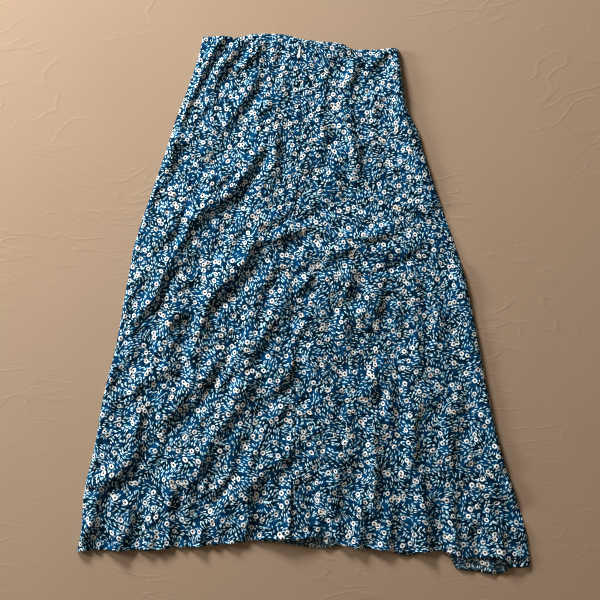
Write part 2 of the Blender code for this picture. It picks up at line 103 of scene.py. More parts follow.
# Outlines, each row a point that the line runs through
EdgePoint = namedtuple("EdgePoint", "down across")
LEFT_SIDE = [EdgePoint(*row) for row in (
    (5, -166), (43, -175), (92, -192), (142, -211), (193, -227), (231, -240), (269, -253),
    (345, -278), (406, -290), (526, -312), (602, -331), (678, -344), (762, -363), (823, -367),
    (855, -374),
)]
RIGHT_SIDE = [EdgePoint(*row) for row in (
    (31, 156), (97, 165), (122, 169), (139, 175), (163, 188), (196, 197), (284, 226),
    (348, 249), (408, 267), (477, 282), (568, 299), (686, 325), (734, 340), (823, 367),
    (878, 374),
)]
CENTRE_BACK_SEAM = [EdgePoint(*row) for row in (
    (13, -6), (80, -5), (158, -4.5), (241, -8), (299, -13), (373, -19.5), (469, -16),
    (498, -19), (584, -13.5), (691, -15), (782, -19.5), (830, -19.5),
)]
HemPoint = namedtuple("HemPoint", "across down")
BACK_WAIST = [HemPoint(*row) for row in (
    (-166, 5), (-146, 6), (-120, 8), (-100, 12.5), (-77, 16.5), (-65, 15.5), (-52, 11.5),
    (-34, 9), (-17, 11.5), (-6, 13), (13, 15), (48, 21.5), (68, 25), (101, 27), (126, 26.5),
    (147, 26), (156, 31),
)]
BACK_HEM = [HemPoint(*row) for row in (
    (-374, 855), (-359, 851.5), (-303, 850), (-260, 850), (-211, 846.5), (-128, 840),
    (-87, 835), (-47, 830), (-19.5, 830), (18, 828), (43, 835), (65, 841.5), (103, 847.5),
    (136, 850), (169, 855), (210, 851.5), (240, 855), (253, 859.5), (276, 864), (292, 863),
    (315, 860), (332, 868), (347, 877), (374, 878),
)]
FRONT_WAIST = [HemPoint(*row) for row in (
    (-158, 11), (-125, 12), (-112, 7), (-97, 3.3), (-77, 0), (-49, 0), (-22, 3.3), (-6, 8.2),
    (13, 10.7), (35, 13.2), (65, 17.3), (73, 22.3), (82, 30), (146, 32),
)]
FRONT_HEM = [HemPoint(*row) for row in (
    (-366, 849), (-260, 846), (-128, 836), (-89, 832), (-79, 835.7), (-46, 837.4),
    (-19, 841.5), (4, 844.8), (27, 846.5), (53, 844.8), (70, 841), (103, 844.5), (139, 848.5),
    (152, 856.4), (169, 859.7), (185, 858), (202, 850), (233, 851), (241, 861), (248, 878),
    (263, 883), (284, 886), (307, 889.5), (319, 891), (334, 884.5), (345, 879.5), (366, 876),
)]

# Folds of the upper layer. Each crest runs through three points, downwards or to the left, and
# so does its rise. Soft is the spread on its upper left side, sharp on its lower right.
Fold = namedtuple("Fold", "name x0 d0 x1 d1 x2 d2 soft sharp rise0 rise1 rise2")
FOLDS = [Fold(*row) for row in (
    ("left_hip_sweep", -60, 170, -112, 256, -180, 312, 32, 8, 0.5, 4.5, 4.0),
    ("left_thigh_run", -176, 308, -212, 362, -230, 470, 22, 8, 3.5, 2.5, 0.0),
    ("zip_side_ridge", -46, 135, -42, 190, -52, 245, 12, 7, 0.5, 4.5, 1.0),
    ("hip_slant", -50, 112, -66, 130, -88, 152, 11, 5, 0.0, 3.0, 0.0),
    ("centre_sweep", -34, 280, -92, 360, -142, 435, 22, 10, 0.5, 3.8, 2.5),
    ("centre_sweep_tail", -138, 428, -165, 470, -186, 520, 16, 9, 2.0, 2.0, 0.0),
    ("seam_pucker", -8, 322, -40, 332, -84, 352, 9, 5, 0.5, 4.5, 0.0),
    ("sweep_hollow", -79, 386, -90, 404, -104, 422, 11, 11, 0.0, -3.5, 0.0),
    ("seam_side_bulge", -24, 515, -28, 560, -62, 602, 24, 6, 0.0, 5.0, 1.0),
    ("middle_sweep", -78, 560, -118, 622, -164, 690, 24, 10, 0.5, 3.8, 0.5),
    ("low_sweep", -112, 698, -136, 736, -166, 780, 18, 7, 0.5, 6.0, 1.0),
    ("left_edge_roll", -158, 40, -190, 128, -222, 232, 10, 6, 2.0, 4.5, 2.0),
    ("left_thigh_slant", -262, 440, -278, 470, -290, 505, 12, 6, 0.0, 3.5, 0.0),
    ("left_low_slant", -215, 528, -240, 556, -272, 588, 14, 7, 0.0, 4.0, 0.0),
    ("left_side_roll", -288, 590, -277, 680, -338, 742, 22, 8, 0.5, 5.0, 6.0),
    ("left_corner", -331, 760, -350, 805, -358, 851, 12, 8, 1.0, 6.0, 7.5),
    ("waist_gather_left", -137, 8, -150, 40, -170, 84, 9, 26, 5.0, 6.0, 1.0),
    ("waist_gather_middle", -76, 20, -97, 45, -121, 72, 7, 7, 3.0, 5.0, 0.5),
    ("waist_gather_right", -50, 14, -54, 50, -56, 92, 8, 10, 3.5, 3.0, 0.5),
    ("right_waist_pinch", 142, 32, 120, 50, 98, 68, 10, 6, 4.0, 4.0, 0.5),
    ("right_side_roll_high", 149, 43, 168, 142, 214, 274, 22, 14, 9.5, 10.0, 6.0),
    ("right_side_roll_low", 252, 389, 288, 554, 331, 736, 20, 14, 6.0, 6.0, 6.5),
    ("right_slant", 108, 190, 128, 225, 150, 266, 10, 5, 0.0, 2.5, 0.0),
    ("right_cross_crease", 205, 348, 112, 335, 22, 331, 15, 5, 0.5, 3.2, 0.3),
    ("right_edge_buckle", 205, 440, 222, 462, 236, 500, 12, 6, 0.0, 3.5, 0.0),
    ("right_fold_inner", 116, 640, 115, 700, 112, 770, 12, 6, 0.0, 4.5, 2.0),
    ("right_fold_outer", 186, 600, 181, 670, 178, 730, 12, 6, 0.0, 4.5, 1.0),
    ("hem_wave_1", -282, 750, -290, 800, -294, 852, 14, 7, 0.0, 3.5, 4.5),
    ("hem_wave_2", -212, 740, -222, 795, -228, 850, 13, 7, 0.0, 4.0, 5.0),
    ("hem_wave_3", -160, 785, -166, 815, -170, 845, 9, 7, 0.0, 2.5, 3.5),
    ("hem_wave_4", -84, 725, -94, 785, -98, 840, 14, 8, 0.0, 4.5, 6.0),
    ("hem_wave_5", -18, 735, -23, 782, -27, 832, 13, 7, 0.0, 4.0, 5.0),
    ("hem_wave_6", 88, 745, 94, 800, 94, 848, 14, 8, 0.0, 5.0, 6.5),
    ("hem_wave_7", 142, 720, 141, 785, 138, 852, 11, 7, 0.0, 4.0, 5.0),
    ("hem_wave_8", 192, 750, 202, 805, 204, 855, 15, 9, 0.0, 5.5, 7.5),
    ("hem_wave_9", 240, 745, 248, 805, 254, 860, 13, 8, 0.0, 4.5, 6.0),
    ("hem_wave_10", 310, 775, 318, 820, 322, 862, 13, 8, 0.0, 2.5, 6.0),
    ("right_low_cross", 346, 780, 308, 757, 266, 737, 15, 6, 0.5, 4.0, 0.0),
    ("right_corner_cross", 350, 834, 306, 808, 252, 784, 16, 7, 1.0, 4.5, 0.0),
)]

# How the cloth is rumpled from place to place. Crest is the turn of the wrinkles' crests from
# straight down the skirt, towards its left; slack is the share of cloth that they take up.
Rumple = namedtuple("Rumple", "across down reach crest slack")
RUMPLES = [Rumple(*row) for row in (
    (-120, 45, 45, 28, 0.030), (-20, 45, 45, 5, 0.016), (110, 45, 50, 55, 0.020),
    (-150, 160, 70, 30, 0.024), (-40, 190, 60, 22, 0.022), (40, 170, 60, 5, 0.014),
    (120, 190, 70, -25, 0.014), (-200, 330, 80, 24, 0.022), (-90, 380, 70, 34, 0.028),
    (20, 340, 60, 75, 0.024), (130, 330, 60, 85, 0.022), (190, 440, 70, -5, 0.016),
    (60, 480, 80, 15, 0.016), (-60, 600, 90, 28, 0.022), (-250, 640, 90, 20, 0.022),
    (140, 640, 90, 0, 0.016), (-200, 800, 80, 10, 0.026), (40, 800, 80, 0, 0.026),
    (260, 800, 80, -6, 0.024),
)]
RUMPLE_SEED = 5
RUMPLE_SPREAD = 0.05           # how evenly the spots share the cloth between them
PATCH_SIZE = 34.0              # of rumpled and calm patches, and of the wide ones over them
PATCH_SIZE_WIDE = 90.0
PATCH_LEAST = 0.25             # share of the slack in a calm patch, and more in a rumpled one
PATCH_MORE = 2.2
CREST_SWAY = 0.35              # radians that the crests stray, and over what distance
CREST_SWAY_SIZE = 50.0
SEAM_FIRM = 0.75               # share of the slack that the seam takes away, and its reach
SEAM_FIRM_REACH = 9.0
PULL_FIRM = 0.9
STREAK_RISE = 3.4              # of the middling wrinkles before the cloth settles
STREAK_SIZE = (17.0, 46.0)     # their size across and along the crests
STREAK_TURNS = (-60, -30, 0, 30, 60, 90)
STREAK_BLEND = 0.35            # how far a direction's wrinkles reach into the next one's
STREAK_SWAY = 7.0
STREAK_SWAY_SIZE = 36.0
STREAK_SEEDS = (40, 60)        # first seeds of the sways and of the waves
HIGHEST = 20.0
UNDER_PULL = 6.7               # of the cloth that the zip's pull lies on
PULL_ACROSS = -7.5             # the pull's middle
PULL_DOWN = 31.0
PULL_HALF_LENGTH = 13.0
PULL_CLEAR = 7.0               # flat stretch beside the pull, and where the cloth is free
PULL_FADE = 24.0
PULL_FADE_DOWN = 20.0
COARSE_STEP = 3                # grid points in one step of the coarse grid
COARSE_START = 0.3             # roughness that starts the wrinkles on each grid
FINE_START = 0.06
WRINKLE_STEPS = (300, 240)     # settling steps on the coarse and on the fine grid
WRINKLE_SMOOTHING = (0.03, 0.07)
WRINKLE_HOLD = (0.0004, 0.002)
WRINKLE_SLACK = (2.4, 1.3)
SIDE_HOLD = 0.05               # keeps the sides at their height, and over what share across
SIDE_HOLD_SHARE = 0.02
DAMPING = 0.93                 # speed that is left after a settling step
LINK_PULL = 0.46               # share of a link's stretch that each end takes back in a step
ROLL_FOOT = 0.5                # height of the side's lowest edge
CREST_WANDER = 5.0             # how far a fold's line strays from its drawn curve
WANDER_SIZES = (38.0, 45.0)    # of the straying across and down, and its seeds
WANDER_SEEDS = (3, 4)
FOLD_REACH = 3.2               # spreads from a fold's line to where it has died out
LATTICE = 256                  # points on a side of the noise's lattice, and where it starts
LATTICE_START = (100.0, 60.0)
FACING_SEED = 21

# Mesh density of the shells
ROLL_COLUMNS = 8
PANEL_COLUMNS = 112
PANEL_ROWS = 320
FRONT_COLUMNS = 150
FRONT_ROWS = 170
FACING_COLUMNS = 120
FACING_ROWS = 24
BORDERS = ((0, slice(None)), (-1, slice(None)), (slice(None), 0), (slice(None), -1))

# Flat size of each sheet in metres, and its area in square metres
SheetSize = namedtuple("SheetSize", "flat area")

# The print: small round flowers, most of them alone, over slim leaves that fan out from
# winding lines. Sizes are in millimetres before the print is scaled, and the print is a
# little larger towards the hem.
PRINT_AT_WAIST = 0.95
PRINT_AT_HEM = 1.13
Flowers = namedtuple("Flowers", "shift size randomness radius apart single present")
Leaves = namedtuple("Leaves", "turn shift curve")
FLOWERS = Flowers((13.0, 7.0, 0.0), 18.8, 0.97, 3.6, 3.4, 0.94, 0.93)
FLOWER_LEAST = 0.90            # size of the smallest flower, and more for the largest
FLOWER_MORE = 0.22
PETALS = 5
PETAL_DEPTH = 0.07             # of the notches between petals, as a share of the radius
CLEAR_RING = 1.1               # plain ground round a flower
EDGE_SOFT = 0.15               # half the soft edge of a printed flower
LEAF_SETS = (
    Leaves(0.40, (57.0, 31.0, 0.0), 0.05),
    Leaves(1.20, (-77.0, 141.0, 0.0), -0.05),
    Leaves(2.00, (23.0, -91.0, 0.0), 0.06),
    Leaves(2.80, (191.0, 7.0, 0.0), -0.06),
)
LEAF_ROOM = (6.9, 3.9)         # that a leaf has along and across
LEAF_SCATTER = 0.72
LEAF_HALF_LENGTH = 2.75
LEAF_HALF_WIDTH = 0.84
LEAF_LEAST = 0.80              # length of the shortest leaf, and more for the longest
LEAF_MORE = 0.35
LEAF_TAPER = 0.3               # how much blunter one end is
LEAF_EDGE = (-0.12, 0.15)      # soft edge of a printed leaf
LEAF_SWAY = 0.5                # turn of one leaf from its neighbour, and of a fan
FAN_LEAN = 0.7
FAN_SIZE = 12.5
LEAF_CLOUD = 24.0              # how far the leaves stay broad or slim
LEAF_SLIM = 0.74               # breadth of the slim ones, and more for the broad ones
LEAF_BROAD_MORE = 0.42
BROAD_LEAVES = 0.12            # share of the leaves that are half as broad again
EYE_RADIUS = 1.5
GROUND_SHEEN_CLOUD = 20.0            # size of the ground's deeper and brighter stretches: the ground's own uneven tone, with a painted sheen on the brighter ones
GROUND_DEEP = (0.0008, 0.021, 0.043, 1.0)
# the brighter ground is partly a painted sheen
GROUND_SHEEN = (0.0015, 0.066, 0.158, 1.0)
PETAL_WHITE = (0.80, 0.87, 0.88, 1.0)
PETAL_CREAM = (0.80, 0.79, 0.74, 1.0)
LEAF_WHITE = (0.72, 0.90, 0.94, 1.0)
LEAF_AQUA = (0.36, 0.70, 0.79, 1.0)
EYE_BROWN = (0.060, 0.012, 0.010, 1.0)
EYE_OLIVE = (0.050, 0.040, 0.012, 1.0)
LEFT_PRINT_SHIFT = (0.0, 0.0)  # where each piece was cut from the cloth
RIGHT_PRINT_SHIFT = (137.0, 61.0)
FRONT_PRINT_SHIFT = (900.0, 400.0)
FACING_PRINT_SHIFT = (-700.0, 250.0)
WASH_SHARE = 0.16              # of the pale wash on the cloth's wrong side
WASH = (0.20, 0.20, 0.14, 1.0)

# Other finishes
Relief = namedtuple("Relief", "scale detail strength depth")
CREPE_RELIEFS = (
    Relief(1.6, 3.0, 0.35, 0.0004),     # pebbled grain
    Relief(0.17, 3.5, 0.6, 0.0022),     # small crinkles
    Relief(0.085, 2.0, 1.0, 0.0052),    # soft mottling
)
TAPE_BLUE = ((0.004, 0.012, 0.035, 1.0), (0.012, 0.03, 0.075, 1.0))
THREAD_BLUE = ((0.006, 0.02, 0.05, 1.0), (0.02, 0.06, 0.12, 1.0))
SLIDER_BLUE = ((0.012, 0.035, 0.09, 1.0), (0.03, 0.07, 0.14, 1.0))
PULL_WHITE = ((0.82, 0.85, 0.87, 1.0), (0.70, 0.74, 0.78, 1.0))
FLOOR_TAN = ((0.435, 0.312, 0.215, 1.0), (0.465, 0.333, 0.230, 1.0))
FLOOR_HALF = 4.0               # metres from the floor's middle to its edge
FLOOR_CREASES = 28.0           # creases in a metre, and how thin they are
FLOOR_CREASE_WIDTH = 0.035
FLOOR_CREASE_STRETCH = 0.35    # they are longer across than along
FLOOR_CREASED = (0.42, 0.62)   # where the floor's noise starts and ends its creased patches
FLOOR_GRAIN = 130.0
FLOOR_RELIEF = (0.26, 0.0008)

# The camera looks straight down. Places and sizes are in metres.
FRAME_WIDTH = 0.99             # what the picture covers on the floor
SHARPNESS = 1.2                # width of the picture's pixel filter
SENSOR_WIDTH = 36.0
CAMERA_PLACE = (-0.0062, 0.0066, 1.7)
ROOM_COLOUR = (1.0, 0.90, 0.74, 1.0)
ROOM_STRENGTH = 0.17
Lamp = namedtuple("Lamp", "name place size power colour")
LAMPS = (
    Lamp("window", (-1.22, 2.08, 1.22), 0.8, 75.0, (0.96, 1.0, 1.05)),
    Lamp("side_window", (-2.40, 0.70, 0.90), 0.8, 42.0, (0.96, 1.0, 1.05)),
)


def smooth_line(table, at):
    """Value of a two-column table at the given places, on a smooth line with no overshoot."""
    places = np.array([row[0] for row in table], float)
    values = np.array([row[1] for row in table], float)
    slopes = np.diff(values) / np.diff(places)
    tangents = np.concatenate(([slopes[0]], (slopes[:-1] + slopes[1:]) / 2, [slopes[-1]]))
    turns = np.concatenate(([False], slopes[:-1] * slopes[1:] <= 0, [False]))
    tangents[turns] = 0.0
    at = np.clip(np.asarray(at, float), places[0], places[-1])
    span = np.clip(np.searchsorted(places, at, side="right") - 1, 0, len(places) - 2)
    width = places[span + 1] - places[span]
    t = (at - places[span]) / width
    return (
        (2 * t**3 - 3 * t**2 + 1) * values[span]
        + (t**3 - 2 * t**2 + t) * width * tangents[span]
        + (3 * t**2 - 2 * t**3) * values[span + 1]
        + (t**3 - t**2) * width * tangents[span + 1]
    )


def smooth_step(low, high, value):
    """Rises from none at the low place to one at the high place, with soft ends."""
    t = np.clip((value - low) / (high - low), 0.0, 1.0)
    return t * t * (3.0 - 2.0 * t)


def through_three(first, middle, last, share):
    """Smooth value that has three given ones at the shares 0, a half and 1."""
    value = first * (1 - share) * (1 - 2 * share) + 4 * middle * share * (1 - share)
    return value + last * share * (2 * share - 1)


def ridge(fold, across, down):
    """Rise of one fold, steeper on its sharp side."""
    nearest = np.full(across.shape, np.inf)
    rise = np.zeros(across.shape)
    spread = np.full(across.shape, fold.soft, float)
    steps = np.linspace(0.0, 1.0, CURVE_STEPS)
    curve_x = through_three(fold.x0, fold.x1, fold.x2, steps)
    curve_d = through_three(fold.d0, fold.d1, fold.d2, steps)
    for i in range(CURVE_STEPS - 1):
        run_x = curve_x[i + 1] - curve_x[i]
        run_d = curve_d[i + 1] - curve_d[i]
        from_x = across - curve_x[i]
        from_d = down - curve_d[i]
        along = np.clip((from_x * run_x + from_d * run_d) / (run_x**2 + run_d**2), 0.0, 1.0)
        away = np.hypot(from_x - along * run_x, from_d - along * run_d)
        closer = away < nearest
        side = run_x * from_d - run_d * from_x
        turned = smooth_step(-SIDE_CHANGE, SIDE_CHANGE, -side)
        leaning = fold.soft + (fold.sharp - fold.soft) * turned
        share = (i + along) / (CURVE_STEPS - 1)
        here = through_three(fold.rise0, fold.rise1, fold.rise2, share)
        rise = np.where(closer, here, rise)
        spread = np.where(closer, leaning, spread)
        nearest = np.where(closer, away, nearest)
    return rise * np.exp(-((nearest / spread) ** 2))


def least_lift(across, down):
    """Room that the facing, the zip and its slider need between the two layers."""
    below_edge = down - smooth_line(BACK_WAIST, across)
    beside_zip = np.abs(across - smooth_line(CENTRE_BACK_SEAM, down))
    over_facing = 1.0 - smooth_step(FACING_DEPTH + FACING_CLEAR, FACING_DEPTH + FACING_FADE, below_edge)
    in_band = 1.0 - smooth_step(ZIP_BAND, 2.0 * ZIP_BAND, beside_zip)
    over_zip = in_band * (1.0 - smooth_step(ZIP_LENGTH + ZIP_CLEAR, ZIP_LENGTH + ZIP_FADE, down))
    near_slider = in_band * over_facing
    return (
        (FACING_WALL + GAP) * over_facing
        + (TAPE_WALL + 2 * GAP) * over_zip
        + (SLIDER_HEIGHT - TAPE_WALL) * near_slider
    )


def rolling_noise(across, down, size, seed):
    """Smooth noise between -1 and 1, from a seeded lattice."""
    draw = np.random.default_rng(seed)
    lattice = draw.uniform(-1.0, 1.0, (LATTICE, LATTICE))
    x = across / size + LATTICE_START[0]
    y = down / size + LATTICE_START[1]
    cell_x = np.floor(x).astype(int)
    cell_y = np.floor(y).astype(int)
    tx = smooth_step(0.0, 1.0, x - cell_x)
    ty = smooth_step(0.0, 1.0, y - cell_y)
    upper_left = lattice[cell_y % LATTICE, cell_x % LATTICE]
    upper_right = lattice[cell_y % LATTICE, (cell_x + 1) % LATTICE]
    lower_left = lattice[(cell_y + 1) % LATTICE, cell_x % LATTICE]
    lower_right = lattice[(cell_y + 1) % LATTICE, (cell_x + 1) % LATTICE]
    upper = upper_left * (1 - tx) + upper_right * tx
    lower = lower_left * (1 - tx) + lower_right * tx
    return upper * (1 - ty) + lower * ty


def placed_folds(across, down):
    """Height of the listed folds, their lines straying a little."""
    stray_x = across + CREST_WANDER * rolling_noise(across, down, WANDER_SIZES[0], WANDER_SEEDS[0])
    stray_d = down + CREST_WANDER * rolling_noise(across, down, WANDER_SIZES[1], WANDER_SEEDS[1])
    height = np.zeros(across.shape)
    for fold in FOLDS:
        reach = FOLD_REACH * max(fold.soft, fold.sharp)
        low_x = min(fold.x0, fold.x1, fold.x2) - reach
        high_x = max(fold.x0, fold.x1, fold.x2) + reach
        low_d = min(fold.d0, fold.d1, fold.d2) - reach
        high_d = max(fold.d0, fold.d1, fold.d2) + reach
        near = (stray_x > low_x) & (stray_x < high_x) & (stray_d > low_d) & (stray_d < high_d)
        if near.any():
            height[near] += ridge(fold, stray_x[near], stray_d[near])
    return height


def lift(across, down):
    """Height of the upper layer's underside above the under layer, before it is rumpled."""
    height = LOFT + placed_folds(across, down)
    least = least_lift(across, down)
    spare = height - least
    return least + 0.5 * (spare + np.sqrt(spare**2 + SOFTNESS**2)) - SETTLE


def rumple_field(across, down):
    """Slack of the cloth across its crests, and the crests' turn, from place to place."""
    total = np.full(across.shape, 1e-6)
    slack = np.zeros(across.shape)
    turn_x = np.zeros(across.shape)
    turn_y = np.zeros(across.shape)
    for spot in RUMPLES:
        away = ((across - spot.across) ** 2 + (down - spot.down) ** 2) / spot.reach**2
        weight = 1.0 / (RUMPLE_SPREAD + away**2)
        double = math.radians(2 * spot.crest)
        total += weight
        slack += weight * spot.slack
        turn_x += weight * math.cos(double)
        turn_y += weight * math.sin(double)
    patchy = 0.5 + 0.5 * rolling_noise(across, down, PATCH_SIZE, RUMPLE_SEED)
    patchy *= 0.6 + 0.4 * rolling_noise(across, down, PATCH_SIZE_WIDE, RUMPLE_SEED + 1)
    beside_seam = np.abs(across - smooth_line(CENTRE_BACK_SEAM, down))
    firm = 1.0 - SEAM_FIRM * np.exp(-((beside_seam / SEAM_FIRM_REACH) ** 2))
    firm *= 1.0 - PULL_FIRM * under_pull(across, down)
    sway = CREST_SWAY * rolling_noise(across, down, CREST_SWAY_SIZE, RUMPLE_SEED + 2)
    turn = 0.5 * np.arctan2(turn_y, turn_x) + sway
    return slack / total * (PATCH_LEAST + PATCH_MORE * patchy) * firm, turn


def under_pull(across, down):
    """One where the zip's pull lies, falling to none round it."""
    beside = 1.0 - smooth_step(PULL_CLEAR, PULL_FADE, np.abs(across - PULL_ACROSS))
    fade_end = PULL_HALF_LENGTH + PULL_FADE_DOWN
    below = 1.0 - smooth_step(PULL_HALF_LENGTH, fade_end, np.abs(down - PULL_DOWN))
    return beside * below


def streaks(across, down, turn):
    """Middling wrinkles that run along the crests' turn, from -1 to 1."""
    total = np.zeros(across.shape)
    weights = np.full(across.shape, 1e-6)
    for number, degrees in enumerate(STREAK_TURNS):
        angle = math.radians(degrees)
        over = across * math.cos(angle) + down * math.sin(angle)
        along = down * math.cos(angle) - across * math.sin(angle)
        over += STREAK_SWAY * rolling_noise(across, down, STREAK_SWAY_SIZE, STREAK_SEEDS[0] + number)
        squeeze = STREAK_SIZE[1] / STREAK_SIZE[0]
        wave = rolling_noise(over * squeeze, along, STREAK_SIZE[1], STREAK_SEEDS[1] + number)
        weight = np.exp(-((np.sin(turn - angle) / STREAK_BLEND) ** 2))
        total += weight * wave
        weights += weight
    return total / weights


def neighbour_links(shape):
    """Pairs of grid points to hold apart, in batches that share no point."""
    rows, columns = shape
    batches = []
    for row_step, column_step in ((0, 1), (1, 0), (1, 1), (1, -1)):
        for parity in (0, 1):
            if row_step == 0:
                count = (columns - parity) // 2
                first = (slice(None), slice(parity, parity + 2 * count, 2))
                second = (slice(None), slice(parity + 1, parity + 1 + 2 * count, 2))
            else:
                count = (rows - parity) // 2
                left = slice(None, -1) if column_step else slice(None)
                right = slice(1, None) if column_step else slice(None)
                if column_step < 0:
                    left, right = right, left
                first = (slice(parity, parity + 2 * count, 2), left)
                second = (slice(parity + 1, parity + 1 + 2 * count, 2), right)
            batches.append((first, second))
    return batches


def settled(start, slack, turn, least, most, stage):
    """Lets the cloth take up its slack as wrinkles, its edges held in place."""
    hold = WRINKLE_HOLD[stage]
    smoothing = WRINKLE_SMOOTHING[stage]
    points = start.copy()
    speed = np.zeros_like(points)
    columns = np.arange(start.shape[1])
    from_side = np.minimum(columns, columns[::-1]) / start.shape[1]
    near_side = np.exp(-((from_side / SIDE_HOLD_SHARE) ** 2))[None, :]
    pull_across = np.cos(turn)
    pull_up = -np.sin(turn)
    links = []
    for first, second in neighbour_links(start.shape[:2]):
        way = start[second] - start[first]
        length = np.sqrt((way**2).sum(-1))
        flat = np.hypot(way[..., 0], way[..., 1]) + 1e-9
        share = (way[..., 0] * pull_across[first] + way[..., 1] * pull_up[first]) / flat
        stretch = 1.0 + WRINKLE_SLACK[stage] * slack[first] * share**2
        links.append((first, second, (length * stretch)[..., None]))
    for _ in range(WRINKLE_STEPS[stage]):
        speed *= DAMPING
        points += speed
        before = points.copy()
        for first, second, rest in links:
            way = points[second] - points[first]
            length = np.sqrt((way**2).sum(-1, keepdims=True)) + 1e-9
            push = way * (LINK_PULL * (1.0 - rest / length))
            points[first] += push
            points[second] -= push
        moved = points - start
        bend = np.zeros_like(moved)
        inner = moved[1:-1, 1:-1]
        around = moved[:-2, 1:-1] + moved[2:, 1:-1] + moved[1:-1, :-2] + moved[1:-1, 2:]
        bend[1:-1, 1:-1] = around - 4 * inner
        points += smoothing * bend - hold * moved
        points[..., 2] -= SIDE_HOLD * near_side * moved[..., 2]
        points[..., 2] = np.clip(points[..., 2], least, np.maximum(most, least))
        for edge in BORDERS:
            points[edge][..., :2] = start[edge][..., :2]
        speed += points - before
    return points


def coarse_grid(shape):
    """Rows and columns of the coarse grid, the last ones among them."""
    rows = np.r_[0:shape[0]:COARSE_STEP, shape[0] - 1]
    columns = np.r_[0:shape[1]:COARSE_STEP, shape[1] - 1]
    return np.unique(rows), np.unique(columns)


def spread_over(values, rows, columns, shape):
    """Values known on some rows and columns, worked out for the whole grid."""
    across_all = np.empty((len(rows), shape[1]))
    for i in range(len(rows)):
        across_all[i] = np.interp(np.arange(shape[1]), columns, values[i])
    result = np.empty(shape)
    for j in range(shape[1]):
        result[:, j] = np.interp(np.arange(shape[0]), rows, across_all[:, j])
    return result


def rumpled(across, down, height):
    """Back of the skirt as it lies: placed folds, then wrinkles of two sizes."""
    draw = np.random.default_rng(RUMPLE_SEED)
    slack, turn = rumple_field(across, down)
    least = WALL + GAP + least_lift(across, down) + CLOTH
    most = HIGHEST + (UNDER_PULL - HIGHEST) * under_pull(across, down)
    strength = STREAK_RISE * slack / np.mean(slack)
    height = height + strength * streaks(across, down, turn)
    smooth = np.stack((across, -down, height), axis=-1)
    rows, columns = coarse_grid(across.shape)
    pick = np.ix_(rows, columns)
    rough = smooth[pick].copy()
    rough[..., 2] += draw.normal(0, COARSE_START, rough.shape[:2])
    wide = settled(rough, slack[pick], turn[pick], least[pick], most[pick], 0)
    moved = wide - smooth[pick]
    points = smooth.copy()
    for axis in range(3):
        points[..., axis] += spread_over(moved[..., axis], rows, columns, across.shape)
    points[..., 2] = np.maximum(points[..., 2], least)
    points[..., 2] += draw.normal(0, FINE_START, across.shape)
    points = settled(points, slack, turn, least, most, 1)
    for edge in BORDERS:
        points[edge][..., :2] = smooth[edge][..., :2]
    return points[..., 0], -points[..., 1], points[..., 2]


def edge_by_down(table):
    """A panel's long edge, as a function of its share from waist to hem."""
    first = table[0].down
    last = table[-1].down

    def points(v):
        down = first + (last - first) * v
        return smooth_line(table, down), down

    return points


def seam_edge(sign):
    """The centre back seam's edge of one panel, parted a little for the slider's bridge."""
    line = edge_by_down(CENTRE_BACK_SEAM)

    def points(v):
        across, down = line(v)
        parted = SEAM_PARTED * np.exp(-(((down - SLIDER_DOWN) / SEAM_PARTED_RUN) ** 2))
        return across + sign * (GAP / 2 + parted), down

    return points


def edge_by_across(table, start, end):
    """A panel's short edge, from one place across to another."""

    def points(u):
        across = start + (end - start) * u
        return across, smooth_line(table, across)

    return points


def patch(side, seam, waist, hem, u, v):
    """Grid of points of a panel between its four edges, as across and down."""
    result = []
    for axis in (0, 1):
        start = side(v)[axis] + 0 * u
        end = seam(v)[axis] + 0 * u
        top = waist(u)[axis] + 0 * v
        bottom = hem(u)[axis] + 0 * v
        first_corner = (1 - v) * float(side(0.0)[axis]) + v * float(side(1.0)[axis])
        second_corner = (1 - v) * float(seam(0.0)[axis]) + v * float(seam(1.0)[axis])
        corners = (1 - u) * first_corner + u * second_corner
        result.append((1 - u) * start + u * end + (1 - v) * top + v * bottom - corners)
    return result


def back_panel_grid(side_table, sign):
    """Top of a back panel inside its side roll: across, down, height, and its outer edge."""
    side = edge_by_down(side_table)
    seam = seam_edge(sign)
    waist = edge_by_across(BACK_WAIST, float(side(0.0)[0]), float(seam(0.0)[0]))
    hem = edge_by_across(BACK_HEM, float(side(1.0)[0]), float(seam(1.0)[0]))
    v = np.linspace(0.0, 1.0, PANEL_ROWS + 1)[:, None]
    roll_share = SIDE_ROLL / np.abs(side(v)[0] - seam(v)[0])
    steps = np.linspace(0.0, 1.0, PANEL_COLUMNS + 1)[None, :]
    u = roll_share + (1 - roll_share) * steps
    across, down = patch(side, seam, waist, hem, u, v)
    height = WALL + GAP + lift(across, down) + WALL
    edge = patch(side, seam, waist, hem, np.zeros((1, 1)), v)
    return across, down, height, edge


def in_hem(to_hem):
    """One on the turned hem and none above it."""
    return 1 - smooth_step(HEM_DEPTH - HEM_SOFTNESS, HEM_DEPTH + HEM_SOFTNESS, to_hem)


def pressed_in(across, down, height):
    """Marks that sewing leaves in the surface: the turned hem's step and the seam's hollow."""
    to_hem = smooth_line(BACK_HEM, across) - down
    height = height + HEM_RAISED * in_hem(to_hem)
    from_groove = (to_hem - HEM_DEPTH + HEM_GROOVE_INSET) / HEM_GROOVE_WIDTH
    height -= HEM_GROOVE * np.exp(-(from_groove**2))
    to_seam = np.abs(across - smooth_line(CENTRE_BACK_SEAM, down))
    return height - SEAM_SUNK * np.exp(-((to_seam / SEAM_SHOULDER) ** 2))


